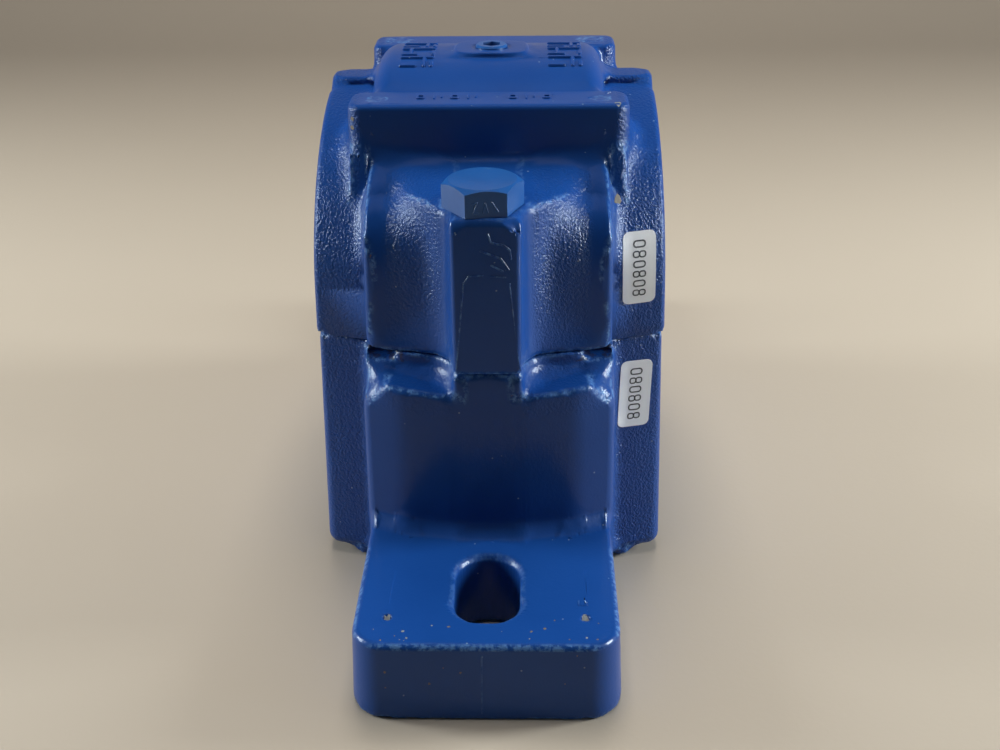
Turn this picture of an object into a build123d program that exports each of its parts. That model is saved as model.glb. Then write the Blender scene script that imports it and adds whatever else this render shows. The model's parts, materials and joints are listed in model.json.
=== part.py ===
"""Split plummer block with a self-aligning roller bearing on an adapter sleeve.

Millimetres. X runs along the base, Y along the shaft and Z up. The origin lies under
the middle of the base, so the shaft axis is parallel to Y at Z = shaft_height.
"""
from build123d import *
import math
import os

# Base and feet
base_length = 330.2
foot_width = 91.2
foot_height = 30.0
foot_corner = 13.0
foot_draft = 2.6
foot_edge = 2.4
shaft_height = 95.25
slot_inset = 32.6
slot_length = 36.5
slot_width = 22.2
slot_edge = 0.6
foot_mark_inset = 16.0
foot_mark_side = 33.0
foot_mark_radius = 1.6
foot_mark_depth = 0.9

# Cast walls round the bore
wall_draft = 1.0
wall_half_width = 44.5
wall_corner = 5.0
wall_side_step = 10.2
wall_edge = 4.0
foot_blend = 4.0
wall_bow_x = 4.2
wall_bow_y = 31.0
wall_bow = 30.0
pry_depth = 3.0
pry_length = 10.0
pry_width = 5.5
split_step = 0.9

# Bolt flange and its columns
flange_half_width = 43.9
flange_draft = 1.6
flange_wall = 5.0
flange_edge = 3.0
flute_radius = 12.0
flute_wall = 11.5
column_half_width = 11.8
column_nose = 14.0
column_edge = 2.0
column_top_edge = 3.0
brow_height = 42.25
waist_height = 22.75
roof_rise = 4.4
bolt_web = 3.2
bolt_seat_height = 56.4
spot_face_depth = 0.4
bolt_side = -1.0

# Sections of a bolt flange beside its column: share of the way out to its side, then the
# place of foot, waist, brow and ridge beyond the flange corner, how far the ridge lies under
# the bolt seat, and the place and drop of the middle of the roof.
flank_rows = [
    (-0.02, 19.6, 18.6, 18.0, 17.0, 0.0, -7.0, -0.6),
    (0.03, 14.4, 14.0, 13.5, 12.8, 0.0, -8.0, -0.7),
    (0.08, 10.5, 10.2, 9.9, 9.4, 0.1, -9.0, -0.8),
    (0.15, 7.6, 7.0, 6.4, 5.9, 0.4, -10.0, -0.9),
    (0.29, 5.0, 3.5, 2.0, 0.5, 1.2, -13.0, -1.2),
    (0.47, 3.6, 1.6, -0.6, -7.0, 2.2, -17.0, -1.5),
    (0.65, 2.4, 0.3, -2.6, -13.5, 3.6, -20.5, -1.3),
    (0.83, 1.2, 0.0, -3.0, -13.8, 4.2, -20.5, -1.2),
    (1.00, 0.0, -0.3, -3.2, -14.0, 4.4, -20.5, -1.1),
]

# Sections over a ledge beside its column: share of the way out to the flange side, then the
# drop at the flange, and the place and drop of the brow and of the far end.
ledge_rows = [
    (-0.10, 9.3, 10.0, 9.3, 40.0, 9.3),
    (0.75, 6.8, 7.0, 6.8, 40.0, 6.8),
    (0.90, 3.0, 5.5, 7.0, 40.0, 30.0),
    (1.10, 1.5, 4.0, 6.5, 40.0, 80.0),
]

# Seal hubs
hub_half_width = 63.5
hub_outer_radius = 67.2
hub_inner_radius = 73.6
hub_crown = 75.8
hub_shoulder = 18.0
hub_draft = 1.8
hub_edge = 2.5
hub_floor_gap = 2.6
hub_floor_edge = 5.0
hub_pad_rise = 78.2
hub_pad_half_width = 7.0
base_pad_half_width = 53.0

# Crown, bars and top pad
crown_wall = 11.8
crown_half_width = 42.8
crown_edge = 8.0
crown_shift = -0.7
bar_inner = 33.5
bar_outer = 52.3
bar_half_width = 49.2
bar_rise = 80.2
bar_draft = 3.0
bar_corner = 5.0
bar_edge = 2.2
bar_root = 30.0
bar_mark_radius = 4.2
bar_mark_height = 0.7
bar_mark_x = 43.5
bar_mark_y = 40.0
pad_length = 21.0
pad_width = 28.0
pad_corner = 5.0
pad_height = 1.2
pad_edge = 0.8

# Bearing on its sleeve
bearing_outer_radius = 75.0
bearing_width = 36.0
bearing_bore_small = 42.5
bore_taper = 1.0 / 24.0
sphere_radius = 66.5
contact_angle = 9.5
roller_radius = 8.2
roller_half_length = 7.0
roller_profile = 64.0
roller_count = 19
raceway_profile = 66.0
inner_rib_radius = 51.6
ring_chamfer = 1.5
oil_groove_width = 8.0
oil_groove_depth = 1.8
oil_hole_radius = 2.5
cage_thickness = 2.0
cage_half_length = 8.7
stabilizer_width = 12.7
stabilizer_bore = 65.0
guide_inner_radius = 51.35
guide_outer_radius = 57.2
guide_inner_half = 1.3
guide_outer_half = 2.2
shaft_radius = 37.306
sleeve_length = 63.0
sleeve_slit = 4.0
nut_radius = 55.0
nut_width = 16.0
nut_chamfer = 1.5
nut_slot_width = 10.0
nut_slot_depth = 4.0
nut_slots = 4
washer_thickness = 1.75
washer_radius = 49.5
washer_tooth_radius = 53.0
washer_tooth_width = 8.0
washer_teeth = 15
thread_stick_out = 1.6

# Seals
seal_bore = 44.5
seal_groove_radius = 52.0
seal_groove_width = 6.0
seal_land = 3.2
seal_fin_radius = 51.2
seal_fin_width = 4.4
seal_hub_radius = 43.7
o_ring_section = 1.75
cavity_radius = 64.0

# Fasteners
bolt_radius = 7.94
bolt_grip_in_base = 30.0
bolt_tap_spare = 6.0
bolt_head_flats = 23.8
bolt_head_height = 9.3
bolt_head_chamfer = 0.6
bolt_turn = 7.0
dowel_radius = 4.0
dowel_length = 24.0
dowel_x = 62.0
dowel_y = 53.0
plug_radius = 6.0
plug_length = 10.0
plug_proud = 1.0
plug_key = 6.35
plug_key_depth = 5.0
grease_hole_radius = 3.5

# Fits
bolt_clearance = 0.45
tap_clearance = 0.05
pin_clearance = 0.02
seat_clearance = 0.02
end_play = 0.1
race_clearance = 0.05
pocket_clearance = 0.25
thread_clearance = 0.05
shaft_clearance = 0.04
spot_face_clearance = 1.2

# Derived places
slot_centre = base_length / 2 - slot_inset
seat_radius = bearing_outer_radius + seat_clearance
crown_radius = seat_radius + crown_wall
bolt_hole_radius = bolt_radius + bolt_clearance
bolt_x = seat_radius + bolt_web + bolt_hole_radius
column_front = bolt_x + column_nose
flange_corner_x = seat_radius + flange_wall
flute_x = seat_radius + flute_wall
seat_half_width = bearing_width / 2 + stabilizer_width / 2 + end_play
bearing_y = end_play + bearing_width / 2 - seat_half_width
bolt_seat_z = shaft_height + bolt_seat_height
column_top_z = bolt_seat_z + spot_face_depth
pad_top_z = shaft_height + crown_radius + pad_height
bar_top_z = shaft_height + bar_rise
row_pitch_radius = sphere_radius - roller_radius - race_clearance
row_angle = math.radians(contact_angle)
row_radius = row_pitch_radius * math.cos(row_angle)
row_offset = row_pitch_radius * math.sin(row_angle)
sleeve_end = bearing_y + bearing_width / 2 + washer_thickness + nut_width + thread_stick_out

on_shaft = Plane(origin=(0, 0, shaft_height), x_dir=(1, 0, 0), z_dir=(0, 1, 0))


def plan(quadrant, radii):
    """Face in XY that repeats the corners of one quadrant in all four."""
    first = list(zip(quadrant, radii))
    second = [((-x, y), r) for (x, y), r in reversed(first)]
    upper = first + second
    lower = [((-x, -y), r) for (x, y), r in upper]
    corners = upper + lower
    points = [corner for corner, radius in corners]
    return make_face(FilletPolyline(*points, radius=[radius for corner, radius in corners], close=True))


def turned(*points):
    """Solid of revolution about Z from its section of (radius, height) points."""
    return revolve(make_face(Plane.XZ * Polyline(*points, close=True)), Axis.Z)


def tube(inner, outer, low, high):
    return turned((inner, low), (outer, low), (outer, high), (inner, high))


def both_ends(solid):
    """The solid and its copy turned half round the vertical axis."""
    return solid + Rot(0, 0, 180) * solid


def split_outline(step=0.0):
    """Plan of the bolt flanges where cap and base meet, with scooped sides."""
    corners = [
        (column_front - step, column_half_width),
        (flute_x, column_half_width + 2.0),
        (flange_corner_x, flange_half_width),
    ]
    return plan(corners, [column_edge, flute_radius, flange_edge])


def bore_space():
    """Everything that is machined or cored out round the shaft, as one turned body."""
    first_groove = hub_half_width - seal_land
    second_groove = first_groove - seal_groove_width - seal_land
    cavity_end = second_groove - seal_groove_width - seal_land
    section = [
        (0, 0),
        (seat_radius, 0),
        (seat_radius, seat_half_width),
        (cavity_radius, seat_half_width),
        (cavity_radius, cavity_end),
        (seal_bore, cavity_end),
        (seal_bore, second_groove - seal_groove_width),
        (seal_groove_radius, second_groove - seal_groove_width),
        (seal_groove_radius, second_groove),
        (seal_bore, second_groove),
        (seal_bore, first_groove - seal_groove_width),
        (seal_groove_radius, first_groove - seal_groove_width),
        (seal_groove_radius, first_groove),
        (seal_bore, first_groove),
        (seal_bore, hub_half_width + 5),
        (0, hub_half_width + 5),
    ]
    half = turned(*section)
    return on_shaft * (half + mirror(half, Plane.XY))


def dowel_holes():
    hole = Pos(dowel_x, dowel_y, shaft_height) * Cylinder(dowel_radius + pin_clearance, dowel_length + 1)
    return both_ends(hole)


def foot():
    plate = extrude(RectangleRounded(base_length, foot_width, foot_corner), foot_height, taper=foot_draft)
    plate = fillet(plate.faces().sort_by(Axis.Z)[-1].edges(), foot_edge)
    slot = Pos(slot_centre, 0, 0) * extrude(SlotOverall(slot_length, slot_width), foot_height)
    plate -= both_ends(slot)
    rim = [
        edge
        for edge in plate.faces().sort_by(Axis.Z)[-1].edges()
        if abs(abs(edge.center().X) - slot_centre) < slot_length and abs(edge.center().Y) < slot_width
    ]
    plate = chamfer(rim, slot_edge)
    mark_x = base_length / 2 - foot_mark_inset
    for side in (-1, 1):
        mark = Pos(mark_x, side * foot_mark_side, foot_height - foot_mark_depth / 2)
        plate -= both_ends(mark * Cylinder(foot_mark_radius, foot_mark_depth))
    return plate


def ledge_section(row):
    """Section in XZ of the space over one ledge, at one distance from the column."""
    share, inner_drop, brow_x, brow_drop, out_x, out_drop = row
    y = column_half_width + share * (flange_half_width - column_half_width)
    top = shaft_height + split_step
    corners = [
        (cavity_radius, top),
        (cavity_radius, shaft_height - inner_drop),
        (flange_corner_x, shaft_height - inner_drop),
        (flange_corner_x + brow_x, shaft_height - brow_drop),
        (flange_corner_x + out_x, shaft_height - out_drop),
        (flange_corner_x + out_x, top),
    ]
    return Plane(origin=(0, y, 0), x_dir=(1, 0, 0), z_dir=(0, -1, 0)) * make_face(Polyline(*corners, close=True))


def ledge_cut():
    """Space above the ledges beside the columns; outside them the wall rolls over instead."""
    above = loft([ledge_section(row) for row in ledge_rows], ruled=True)
    return both_ends(above + mirror(above, Plane.XZ))


def wall_block():
    """Bowed walls between the feet and the split, wider towards the floor."""
    corners = [
        (column_front - split_step, column_half_width),
        (column_front - wall_bow_x, wall_bow_y),
        (column_front - wall_side_step, wall_half_width),
    ]
    down = Plane(origin=(0, 0, shaft_height), x_dir=(1, 0, 0), z_dir=(0, 0, -1))
    outline = down * plan(corners, [wall_bow, wall_bow, wall_edge])
    return extrude(outline, shaft_height, taper=-wall_draft)


def base_hubs():
    corners = [(hub_inner_radius, wall_half_width - 4), (hub_outer_radius, hub_half_width - split_step)]
    face = plan(corners, [1.0, hub_edge])
    down = Plane(origin=(0, 0, shaft_height), x_dir=(1, 0, 0), z_dir=(0, 0, -1))
    hubs = extrude(down * face, shaft_height - hub_floor_gap, taper=-hub_draft)
    return fillet(hubs.faces().sort_by(Axis.Z)[0].edges(), hub_floor_edge)


def base():
    down = Plane(origin=(0, 0, shaft_height), x_dir=(1, 0, 0), z_dir=(0, 0, -1))
    flange = extrude(down * split_outline(split_step), 30)
    body = wall_block() - ledge_cut()
    pads = Pos(0, 0, hub_floor_gap) * Box(2 * hub_inner_radius, 2 * base_pad_half_width, 2 * hub_floor_gap)
    pads &= Pos(0, 0, shaft_height / 2) * Box(base_length, 2 * hub_half_width, shaft_height)
    body = body + flange + base_hubs() + pads + foot()
    body -= bore_space()
    body -= Pos(0, 0, 1.5 * shaft_height) * Box(base_length, 3 * hub_half_width, shaft_height)
    tap_depth = bolt_grip_in_base + bolt_tap_spare
    tap = Pos(bolt_x, bolt_side, shaft_height - tap_depth / 2) * Cylinder(bolt_radius + tap_clearance, tap_depth)
    body -= both_ends(tap)
    notch = Box(3 * pry_width, pry_length, 2 * pry_depth)
    for side in (-1, 1):
        place = Pos(flange_corner_x + pry_width / 2, side * (flange_half_width - pry_length / 2), shaft_height)
        body -= both_ends(place * notch)
    body -= dowel_holes()
    return body


def hub_section(y, half_width):
    """Rounded section of a cap hub in XZ: upright sides that roll over into the top."""
    arch = EllipticalCenterArc(
        (0, shaft_height + hub_shoulder), half_width, hub_crown - hub_shoulder, arc_size=180
    )
    sides = Polyline(
        (-half_width, shaft_height + hub_shoulder),
        (-half_width, shaft_height),
        (half_width, shaft_height),
        (half_width, shaft_height + hub_shoulder),
    )
    return Plane(origin=(0, y, 0), x_dir=(1, 0, 0), z_dir=(0, -1, 0)) * make_face(arch + sides)


def cap_hubs():
    """Round hubs with drafted end faces and a flat pad on top of each."""
    root_y = wall_half_width - 4
    wide = hub_section(root_y, hub_inner_radius)
    middle = extrude(hub_section(0, hub_inner_radius), root_y, both=True)
    side = loft([wide, hub_section(hub_half_width + 1, hub_outer_radius)])
    pad = Pos(0, hub_half_width / 2, shaft_height + hub_pad_rise / 2)
    pad *= Box(2 * hub_pad_half_width, hub_half_width + 2, hub_pad_rise)
    pad = fillet(pad.faces().sort_by(Axis.Z)[-1].edges().filter_by(Axis.Y), 2.0)
    side += pad
    ends = extrude(Rectangle(base_length, 2 * hub_half_width), hub_pad_rise + 1, taper=hub_draft)
    side &= Pos(0, 0, shaft_height) * ends
    rims = side.faces().sort_by(Axis.Y)[-1].edges()
    rims = [edge for edge in rims if edge.center().Z > shaft_height + 1]
    side = fillet(rims, hub_edge)
    return middle + side + mirror(side, Plane.XZ)


def crown():
    shell = on_shaft * Cylinder(crown_radius, 2 * crown_half_width)
    shell = fillet(shell.edges().filter_by(GeomType.CIRCLE), crown_edge)
    between_bars = Pos(0, 0, shaft_height) * Box(bar_inner + bar_outer, 3 * crown_half_width, 2 * pad_top_z)
    shell &= between_bars
    pad_block = Pos(0, 0, pad_top_z - crown_radius / 2) * Box(pad_length, pad_width, crown_radius)
    pad_block = fillet(pad_block.edges().filter_by(Axis.Z), pad_corner)
    pad_block = fillet(pad_block.faces().sort_by(Axis.Z)[-1].edges(), pad_edge)
    return Pos(0, crown_shift, 0) * shell + pad_block


def bar():
    """Shoulder bar over one bolt flange, drafted towards its top."""
    middle = (bar_inner + bar_outer) / 2
    down = Plane(origin=(middle, 0, bar_top_z), x_dir=(1, 0, 0), z_dir=(0, 0, -1))
    face = RectangleRounded(bar_outer - bar_inner, 2 * bar_half_width, bar_corner)
    block = extrude(down * face, bar_rise - bar_root, taper=-bar_draft)
    return fillet(block.faces().sort_by(Axis.Z)[-1].edges(), bar_edge)


def flank(row):
    """Section of one bolt flange in XZ at one distance from its middle.

    The roof runs from the bar to the ridge, and the wall falls from the ridge to the split.
    """
    share, foot, waist, brow, ridge, ridge_drop, roof_middle, middle_drop = row
    y = column_half_width + share * (flange_half_width - column_half_width)
    roof_z = column_top_z + roof_rise
    crest = (flange_corner_x + ridge, column_top_z - ridge_drop)
    roof = Spline(
        (bar_outer, roof_z),
        (flange_corner_x + roof_middle, column_top_z - middle_drop),
        crest,
    )
    wall = Spline(
        crest,
        (flange_corner_x + brow, shaft_height + brow_height),
        (flange_corner_x + waist, shaft_height + waist_height),
        (flange_corner_x + foot, shaft_height),
    )
    back = Polyline((flange_corner_x + foot, shaft_height), (bar_inner, shaft_height), (bar_inner, roof_z), (bar_outer, roof_z))
    return Plane(origin=(0, y, 0), x_dir=(1, 0, 0), z_dir=(0, -1, 0)) * make_face(roof + wall + back)


def bolt_flange():
    """Flange with scooped sides, a rolled shoulder and the column under the bolt head."""
    side = loft([flank(row) for row in flank_rows])
    outline = extrude(split_outline(), column_top_z + roof_rise - shaft_height + 1, taper=flange_draft)
    side &= Pos(0, 0, shaft_height) * outline
    middle = (flange_corner_x + flank_rows[0][6], column_top_z - flank_rows[0][7])
    crest = (flange_corner_x + flank_rows[0][4], column_top_z)
    roof = Spline((bar_outer, column_top_z + roof_rise), middle, crest)
    rest = Polyline(
        crest,
        (column_front, column_top_z),
        (column_front, shaft_height),
        (bar_inner, shaft_height),
        (bar_inner, column_top_z + roof_rise),
        (bar_outer, column_top_z + roof_rise),
    )
    column = extrude(Plane.XZ * make_face(roof + rest), column_half_width, both=True)
    column = fillet(column.edges().filter_by(Axis.Y).sort_by(Axis.X)[-2:].sort_by(Axis.Z)[-1], column_top_edge)
    column = fillet(column.edges().filter_by(Axis.Z).group_by(Axis.X)[-1], column_edge)
    return column + side + mirror(side, Plane.XZ)


def cap():
    body = cap_hubs() + crown() + both_ends(bar() + bolt_flange())
    for side in (-1, 1):
        mark = Pos(-bar_mark_x, side * bar_mark_y, bar_top_z)
        body += mark * Cylinder(bar_mark_radius, 2 * bar_mark_height)
        body -= mark * Pos(0, 0, bar_mark_height) * Cylinder(bar_mark_radius / 2.5, 2)
        body -= Pos(bar_mark_x, side * bar_mark_y, bar_top_z) * Cylinder(bar_mark_radius / 2.5, 1.4)
    body -= Pos(0, 0, shaft_height / 2) * Box(base_length, 3 * hub_half_width, shaft_height)
    body -= bore_space()
    hole_length = column_top_z - shaft_height + 2
    through = Pos(bolt_x, bolt_side, shaft_height + hole_length / 2 - 1) * Cylinder(bolt_hole_radius, hole_length)
    face_radius = bolt_head_flats / math.sqrt(3) + spot_face_clearance
    spot = Pos(bolt_x, bolt_side, bolt_seat_z + roof_rise) * Cylinder(face_radius, 2 * roof_rise)
    body -= both_ends(through)
    body -= both_ends(spot)
    body -= dowel_holes()
    tapped = Pos(0, 0, pad_top_z - plug_length / 2) * Cylinder(plug_radius + tap_clearance, plug_length)
    passage = Pos(0, 0, pad_top_z - crown_wall) * Cylinder(grease_hole_radius, 3 * crown_wall)
    body -= tapped
    body -= passage
    return body


def cap_bolt(turn):
    head = extrude(RegularPolygon(bolt_head_flats / math.sqrt(3), 6, rotation=30 + turn), bolt_head_height)
    top_radius = bolt_head_flats / 2 - bolt_head_chamfer
    dome = Cone(top_radius + bolt_head_height * math.sqrt(3), top_radius, bolt_head_height)
    head &= Pos(0, 0, bolt_head_height / 2) * dome
    length = bolt_seat_height + bolt_grip_in_base
    shank = Pos(0, 0, -length / 2) * Cylinder(bolt_radius, length)
    shank = chamfer(shank.edges().sort_by(Axis.Z)[0], 1.5)
    return Pos(bolt_x, bolt_side, bolt_seat_z) * (head + shank)


def top_plug():
    body = Pos(0, 0, (plug_proud - plug_length) / 2) * Cylinder(plug_radius, plug_length + plug_proud)
    body = chamfer(body.edges().sort_by(Axis.Z)[-1], 0.6)
    socket = Pos(0, 0, plug_proud - plug_key_depth) * extrude(
        RegularPolygon(plug_key / math.sqrt(3), 6), plug_key_depth
    )
    return Pos(0, 0, pad_top_z) * (body - socket)


def outer_ring():
    half = bearing_width / 2
    ring = tube(sphere_radius - 14, bearing_outer_radius, -half, half)
    ring = chamfer(ring.edges().filter_by(GeomType.CIRCLE).sort_by(SortBy.RADIUS)[-2:], ring_chamfer)
    ring -= Sphere(sphere_radius)
    groove_floor = bearing_outer_radius - oil_groove_depth
    ring -= tube(groove_floor, bearing_outer_radius + 1, -oil_groove_width / 2, oil_groove_width / 2)
    hole = Rot(90, 0, 0) * Cylinder(oil_hole_radius, 40)
    for step in range(3):
        ring -= Rot(0, 0, 120 * step) * Pos(0, sphere_radius + 5, 0) * hole
    return ring


def bore_radius_at(height):
    """Radius of the tapered seat between sleeve and inner ring; small end at the nut."""
    return bearing_bore_small + (bearing_width / 2 - height) * bore_taper


def inner_ring():
    half = bearing_width / 2
    body = tube(bearing_bore_small - 2, inner_rib_radius, -half, half)
    raceway_reach = row_pitch_radius - roller_radius - race_clearance + raceway_profile
    track = Torus(raceway_reach * math.cos(row_angle), raceway_profile)
    track = Pos(0, 0, raceway_reach * math.sin(row_angle)) * track
    inner_end = row_offset + roller_half_length + pocket_clearance
    keep = tube(bearing_bore_small, sphere_radius, -inner_end, inner_end)
    body -= (track + mirror(track, Plane.XY)) & keep
    bore = turned((0, -half), (bore_radius_at(-half), -half), (bore_radius_at(half), half), (0, half))
    return body - bore


def roller():
    drop = roller_profile - math.sqrt(roller_profile**2 - roller_half_length**2)
    end_radius = roller_radius - drop
    arc = ThreePointArc(
        (end_radius, -roller_half_length), (roller_radius, 0), (end_radius, roller_half_length)
    )
    rest = Polyline(
        (end_radius, roller_half_length), (0, roller_half_length), (0, -roller_half_length), (end_radius, -roller_half_length)
    )
    return revolve(make_face(Plane.XZ * (arc + rest)), Axis.Z)


def in_row(solid):
    """Copies of a solid at every roller place of the row on the nut side."""
    seat = Pos(row_radius, 0, row_offset) * Rot(0, -contact_angle, 0)
    return [Rot(0, 0, 360 * step / roller_count) * seat * solid for step in range(roller_count)]


def cage():
    axis = (-math.sin(row_angle), math.cos(row_angle))
    normal = (math.cos(row_angle), math.sin(row_angle))
    corners = []
    for along, across in ((-1, -1), (1, -1), (1, 1), (-1, 1)):
        s = along * cage_half_length
        t = across * cage_thickness / 2
        corners.append((row_radius + s * axis[0] + t * normal[0], row_offset + s * axis[1] + t * normal[1]))
    shell = turned(*corners)
    width = 2 * (roller_radius + pocket_clearance)
    length = 2 * (roller_half_length + pocket_clearance)
    pocket = Box(4 * cage_thickness, width, length)
    return shell - in_row(pocket)


def guide_ring():
    return turned(
        (guide_inner_radius, -guide_inner_half),
        (guide_outer_radius, -guide_outer_half),
        (guide_outer_radius, guide_outer_half),
        (guide_inner_radius, guide_inner_half),
    )


def stabilizing_ring():
    low = bearing_y + bearing_width / 2
    ring = tube(stabilizer_bore, bearing_outer_radius, low, low + stabilizer_width)
    gap = Pos(0, seat_radius, low) * Box(30, 60, 3 * stabilizer_width)
    return ring - gap


def adapter_sleeve():
    half = bearing_width / 2
    thread_radius = bearing_bore_small
    end = sleeve_end - bearing_y
    start = end - sleeve_length
    section = [
        (shaft_radius + shaft_clearance, start),
        (bore_radius_at(start), start),
        (bore_radius_at(half), half),
        (thread_radius, end - 1),
        (thread_radius - 1, end),
        (shaft_radius + shaft_clearance, end),
    ]
    slit = Pos(0, -bearing_bore_small, 0) * Box(sleeve_slit, bearing_bore_small, 3 * sleeve_length)
    return turned(*section) - slit


def lock_washer():
    low = bearing_width / 2
    body = tube(bearing_bore_small + 0.4, washer_radius, low, low + washer_thickness)
    tooth_reach = washer_tooth_radius - washer_radius + 2
    tooth = Pos(0, washer_tooth_radius - tooth_reach / 2, low + washer_thickness / 2)
    tooth *= Box(washer_tooth_width, tooth_reach, washer_thickness)
    body += [Rot(0, 0, 360 * step / washer_teeth) * tooth for step in range(washer_teeth)]
    tongue = Pos(0, -(shaft_radius + bearing_bore_small + 2) / 2 - 0.6, low + washer_thickness / 2)
    tongue *= Box(sleeve_slit - 0.4, bearing_bore_small - shaft_radius, washer_thickness)
    return body + tongue


def lock_nut():
    low = bearing_width / 2 + washer_thickness
    section = [
        (bearing_bore_small + thread_clearance, low),
        (nut_radius - nut_chamfer, low),
        (nut_radius, low + nut_chamfer),
        (nut_radius, low + nut_width - nut_chamfer),
        (nut_radius - nut_chamfer, low + nut_width),
        (bearing_bore_small + thread_clearance, low + nut_width),
    ]
    body = turned(*section)
    slot = Pos(0, nut_radius, low + nut_width / 2) * Box(nut_slot_width, 2 * nut_slot_depth, 2 * nut_width)
    return body - [Rot(0, 0, 360 * step / nut_slots + 45) * slot for step in range(nut_slots)]


def labyrinth_ring():
    """Seal ring for the +Y hub in shaft coordinates, two fins in the two hub grooves."""
    bore = shaft_radius + shaft_clearance
    first = hub_half_width - seal_land - seal_groove_width / 2
    second = first - seal_groove_width - seal_land
    low = second - seal_groove_width / 2 - seal_land / 2
    high = hub_half_width - 1
    body = tube(bore, seal_hub_radius, low, high)
    for middle in (first, second):
        fin = tube(seal_hub_radius - 1, seal_fin_radius, middle - seal_fin_width / 2, middle + seal_fin_width / 2)
        body += fin
    middle = (first + second) / 2
    groove = o_ring_section * 2 + 0.1
    body -= tube(bore - 1, bore + groove, middle - groove / 2, middle + groove / 2)
    return body


def o_ring():
    first = hub_half_width - seal_land - seal_groove_width / 2
    middle = first - (seal_groove_width + seal_land) / 2
    return Pos(0, 0, middle) * Torus(shaft_radius + shaft_clearance + o_ring_section + 0.05, o_ring_section)


def dowel_pin():
    pin = Cylinder(dowel_radius, dowel_length)
    pin = chamfer(pin.edges().filter_by(GeomType.CIRCLE), 0.6)
    return Pos(dowel_x, dowel_y, shaft_height) * pin


in_housing = on_shaft
in_bearing = on_shaft * Pos(0, 0, bearing_y)

near_bolt = cap_bolt(bolt_turn)
far_bolt = Rot(0, 0, 180) * cap_bolt(-2 * bolt_turn)
pin = dowel_pin()
right_rollers = in_row(roller())
left_rollers = [mirror(one, Plane.XY) for one in right_rollers]
right_cage = cage()
seal = labyrinth_ring()
rubber = o_ring()

pieces = {
    "base": base(),
    "cap": cap(),
    "cap_bolts": Compound([near_bolt, far_bolt]),
    "dowel_pins": Compound([pin, Rot(0, 0, 180) * pin]),
    "top_plug": top_plug(),
    "stabilizing_ring": in_housing * stabilizing_ring(),
    "outer_ring": in_bearing * outer_ring(),
    "inner_ring": in_bearing * inner_ring(),
    "rollers_right": Compound([in_bearing * one for one in right_rollers]),
    "rollers_left": Compound([in_bearing * one for one in left_rollers]),
    "cage_right": in_bearing * right_cage,
    "cage_left": in_bearing * mirror(right_cage, Plane.XY),
    "guide_ring": in_bearing * guide_ring(),
    "adapter_sleeve": in_bearing * adapter_sleeve(),
    "lock_washer": in_bearing * lock_washer(),
    "lock_nut": in_bearing * lock_nut(),
    "labyrinth_ring_right": in_housing * seal,
    "labyrinth_ring_left": in_housing * mirror(seal, Plane.XY),
    "o_ring_right": in_housing * rubber,
    "o_ring_left": in_housing * mirror(rubber, Plane.XY),
}

os.makedirs("parts", exist_ok=True)
for name, piece in pieces.items():
    export_step(piece, f"parts/{name}.step")
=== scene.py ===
import json
import math
import random

import bmesh
import bpy
import numpy as np
from mathutils import Matrix, Vector, noise
from mathutils.bvhtree import BVHTree
from mathutils.kdtree import KDTree


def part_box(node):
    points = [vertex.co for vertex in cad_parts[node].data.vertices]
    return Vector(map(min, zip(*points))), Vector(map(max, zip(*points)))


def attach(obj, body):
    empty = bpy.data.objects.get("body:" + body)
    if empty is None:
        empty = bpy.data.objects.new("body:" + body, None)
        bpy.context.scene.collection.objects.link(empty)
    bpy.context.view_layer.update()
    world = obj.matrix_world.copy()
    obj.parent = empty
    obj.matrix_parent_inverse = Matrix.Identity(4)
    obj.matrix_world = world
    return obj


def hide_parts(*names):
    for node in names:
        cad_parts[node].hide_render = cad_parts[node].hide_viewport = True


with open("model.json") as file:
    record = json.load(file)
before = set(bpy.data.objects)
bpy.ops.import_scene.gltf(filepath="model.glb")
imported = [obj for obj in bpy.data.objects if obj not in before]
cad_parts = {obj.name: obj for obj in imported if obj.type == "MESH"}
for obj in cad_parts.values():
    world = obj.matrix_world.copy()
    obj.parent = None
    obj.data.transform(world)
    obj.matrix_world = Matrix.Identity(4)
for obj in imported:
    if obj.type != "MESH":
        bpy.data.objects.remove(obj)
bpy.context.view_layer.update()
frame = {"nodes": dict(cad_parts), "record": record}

MM = 0.001
BOTH = (-1.0, 1.0)
nodes = frame["nodes"]


def mm(*values):
    """Lengths in metres, given in millimetres."""
    return tuple(value * MM for value in values)


def add_object(name, data):
    item = bpy.data.objects.new(name, data)
    bpy.context.scene.collection.objects.link(item)
    return item


# ---------------------------------------------------------------- camera
CAMERA_PLACE = Vector((486.2, 14.6, 299.8)) * MM
CAMERA_PITCH = math.radians(27.90)
CAMERA_YAW = math.radians(-1.527)
CAMERA_ROLL = math.radians(-0.717)
CAMERA_LENS = 46.02
SENSOR_WIDTH = 36.0
CLIP_START = 0.01
CLIP_END = 50.0


def add_camera():
    """The camera stands before the foot's end and looks down at the part."""
    forward = Vector((
        -math.cos(CAMERA_PITCH) * math.cos(CAMERA_YAW),
        math.cos(CAMERA_PITCH) * math.sin(CAMERA_YAW),
        -math.sin(CAMERA_PITCH),
    ))
    level_right = Vector((math.sin(CAMERA_YAW), math.cos(CAMERA_YAW), 0.0))
    level_up = level_right.cross(forward)
    turn_cos = math.cos(CAMERA_ROLL)
    turn_sin = math.sin(CAMERA_ROLL)
    right = turn_cos * level_right + turn_sin * level_up
    up = turn_cos * level_up - turn_sin * level_right
    data = bpy.data.cameras.new("camera")
    data.lens = CAMERA_LENS
    data.sensor_width = SENSOR_WIDTH
    data.clip_start = CLIP_START
    data.clip_end = CLIP_END
    camera = add_object("camera", data)
    turn = Matrix((right, up, -forward)).transposed().to_4x4()
    camera.matrix_world = Matrix.Translation(CAMERA_PLACE) @ turn
    bpy.context.scene.camera = camera


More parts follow.
